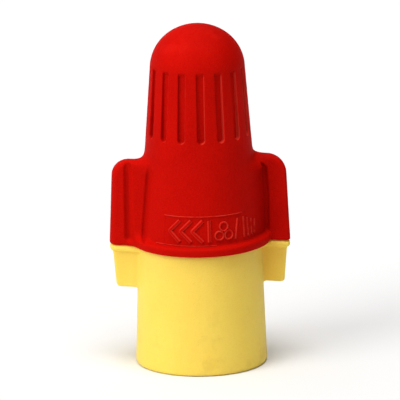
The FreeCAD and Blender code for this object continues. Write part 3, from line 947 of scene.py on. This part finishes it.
def hard_yellow():
    """Moulded nylon: warm yellow, faintly mottled, with stray specks and soft flow marks."""
    t = FinishTree("hard_shell_yellow")
    broad = t.cloud(scale=0.16, detail=4.0)
    flow = t.cloud(scale=0.7, detail=3.0, stretch=(1.5, 1.5, 0.22))
    grain = t.cloud(scale=6.0, detail=2.0)
    pits = t.cloud(scale=15.0, detail=1.0)
    handled = t.cloud(scale=0.5, detail=4.0).ramp(0.52, 0.72) * (1 - t.z.ramp(*HANDLED_LEVELS))
    colour = t.shade(broad.ramp(0.32, 0.68), YELLOW_WARM, YELLOW_FULL)
    colour = t.tint(colour, YELLOW_PALE, flow.ramp(0.45, 0.75), strength=0.22)
    colour = t.tint(colour, YELLOW_DEEP, 1 - pits.ramp(0.28, 0.46), strength=0.22)
    colour = t.tint(colour, YELLOW_DEEP, handled, strength=0.22)
    colour = t.tint(colour, YELLOW_SPECK, t.specks(scale=0.55, radius=0.055), strength=0.75)
    t.set(Base_Color=colour)
    t.set(Roughness=YELLOW_ROUGHNESS + t.swing(flow, 0.2) + t.swing(grain, 0.16) + handled * 0.08)
    t.set(IOR=YELLOW_IOR)
    t.set(Subsurface_Weight=YELLOW_GLOW, Subsurface_Radius=YELLOW_GLOW_COLOUR)
    t.set(Subsurface_Scale=YELLOW_GLOW_REACH * MM)
    t.relief(grain * 0.5 + pits * 0.25 + flow * 0.25, YELLOW_RELIEF)
    return t.material


def bright_steel():
    """Drawn square wire: fine lines along the wire, a thin dull bloom in patches."""
    t = FinishTree("spring_drawn_steel")
    winding = t.node("ShaderNodeCombineXYZ", None, {
        "X": t.turn * STEEL_LINE_LENGTH, "Y": t.r * STEEL_LINES, "Z": t.z * STEEL_LINES})
    drawn = t.cloud(scale=1.0, detail=4.0, spot=winding.outputs[0])
    bloom = t.cloud(scale=0.7, detail=4.0).ramp(0.5, 0.75)
    colour = t.shade(drawn.ramp(0.3, 0.7), STEEL_DARK, STEEL_BRIGHT)
    colour = t.tint(colour, STEEL_BLOOM, bloom, strength=0.45)
    t.set(Base_Color=colour)
    t.set(Metallic=1.0)
    t.set(Roughness=STEEL_ROUGHNESS + t.swing(drawn, 0.2) + bloom * 0.16)
    t.relief(drawn, STEEL_RELIEF)
    return t.material


# ================================================================ studio

FRAME_WIDTH = 39.37
LENS = 600.0
SENSOR = 36.0
CLIP_NEAR = 0.01
CLIP_FAR = 10
VIEW_AZIMUTH = math.radians(-3.7)
VIEW_ELEVATION = math.radians(14.25)
VIEW_ROLL = math.radians(0.88)
BASE_ASIDE = 0.18
BASE_BELOW = 15.68
TONE = 0.9
AIR_WHITE = (1, 1, 1, 1)
AIR_STRENGTH = 0.45
AIR_LEAN = 0.4
FLOOR_GREY = (0.76, 0.76, 0.76, 1)
FLOOR_ROUGHNESS = 0.9
FLOOR_HALF = 3.0


def studio_camera():
    back = Vector((
        math.sin(VIEW_AZIMUTH) * math.cos(VIEW_ELEVATION),
        -math.cos(VIEW_AZIMUTH) * math.cos(VIEW_ELEVATION),
        math.sin(VIEW_ELEVATION),
    ))
    level = back.to_track_quat("Z", "Y").to_matrix()
    turned = level @ Matrix.Rotation(-VIEW_ROLL, 3, "Z")
    right = turned.col[0]
    up = turned.col[1]
    distance = FRAME_WIDTH * LENS / SENSOR
    middle = -right * BASE_ASIDE + up * BASE_BELOW
    data = bpy.data.cameras.new("studio_camera")
    data.lens = LENS
    data.sensor_width = SENSOR
    data.clip_start = CLIP_NEAR
    data.clip_end = CLIP_FAR
    camera = bpy.data.objects.new("studio_camera", data)
    camera.matrix_world = Matrix.Translation((middle + back * distance) * MM) @ turned.to_4x4()
    bpy.context.scene.collection.objects.link(camera)
    bpy.context.scene.camera = camera


def soft_light(name, azimuth, elevation, spread, strength):
    """An even light from far off; azimuth is measured from the front towards +X, all angles in degrees."""
    data = bpy.data.lights.new(name, "SUN")
    data.angle = math.radians(spread)
    data.energy = strength
    light = bpy.data.objects.new(name, data)
    side = math.radians(azimuth)
    rise = math.radians(elevation)
    towards = Vector((
        math.sin(side) * math.cos(rise),
        -math.cos(side) * math.cos(rise),
        math.sin(rise),
    ))
    light.rotation_euler = towards.to_track_quat("Z", "Y").to_euler()
    bpy.context.scene.collection.objects.link(light)


def studio_air():
    """A pale sky, brighter towards -X."""
    world = bpy.data.worlds.new("studio_air")
    world.use_nodes = True
    air = Tree(world.node_tree)
    direction = air.node("ShaderNodeTexCoord")
    split = air.node("ShaderNodeSeparateXYZ", None, {0: direction.outputs["Generated"]})
    background = world.node_tree.nodes["Background"]
    air.feed(background.inputs["Color"], AIR_WHITE)
    air.feed(background.inputs["Strength"], AIR_STRENGTH - AIR_LEAN * Value(air, split.outputs[0]))
    bpy.context.scene.world = world


def studio_floor():
    mesh = bpy.data.meshes.new("studio_floor")
    floor = bpy.data.objects.new("studio_floor", mesh)
    form = bmesh.new()
    bmesh.ops.create_grid(form, x_segments=1, y_segments=1, size=FLOOR_HALF)
    form.to_mesh(mesh)
    form.free()
    bpy.context.scene.collection.objects.link(floor)
    t = FinishTree("floor_white")
    t.set(Base_Color=FLOOR_GREY, Roughness=FLOOR_ROUGHNESS)
    mesh.materials.append(t.material)


def studio():
    studio_camera()
    studio_air()
    studio_floor()
    soft_light("key_light", azimuth=-56, elevation=35, spread=35, strength=1.3)
    soft_light("top_light", azimuth=10, elevation=80, spread=30, strength=2.1)
    bpy.context.scene.view_settings.view_transform = "Standard"
    bpy.context.scene.view_settings.gamma = TONE


# ================================================================ the connector

studio()
red = soft_red("soft_cover_red")
bold_red = soft_red("bold_mark_red", mark_shoulder_highlight_and_wear)
fine_red = soft_red("fine_mark_red", fine_mark_highlight_and_wear)
yellow = hard_yellow()
steel = bright_steel()
cover = cover_body(red)
shell = shell_body(yellow)
spring = spring_wire(steel)
bold_marks = relief("bold_marks", bold_lines(), BOLD_HALF, BOLD_LIFT, cover, bold_red)
fine_marks = relief("fine_marks", fine_lines(), FINE_HALF, FINE_LIFT, cover, fine_red)
hairlines = relief("hairlines", witness_lines(), HAIR_HALF, HAIR_LIFT, cover, fine_red)
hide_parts("grip_cover")
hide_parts("inner_shell")
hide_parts("square_wire_spring")
for piece in (cover, bold_marks, fine_marks, hairlines, shell, spring):
    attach(piece, "root")
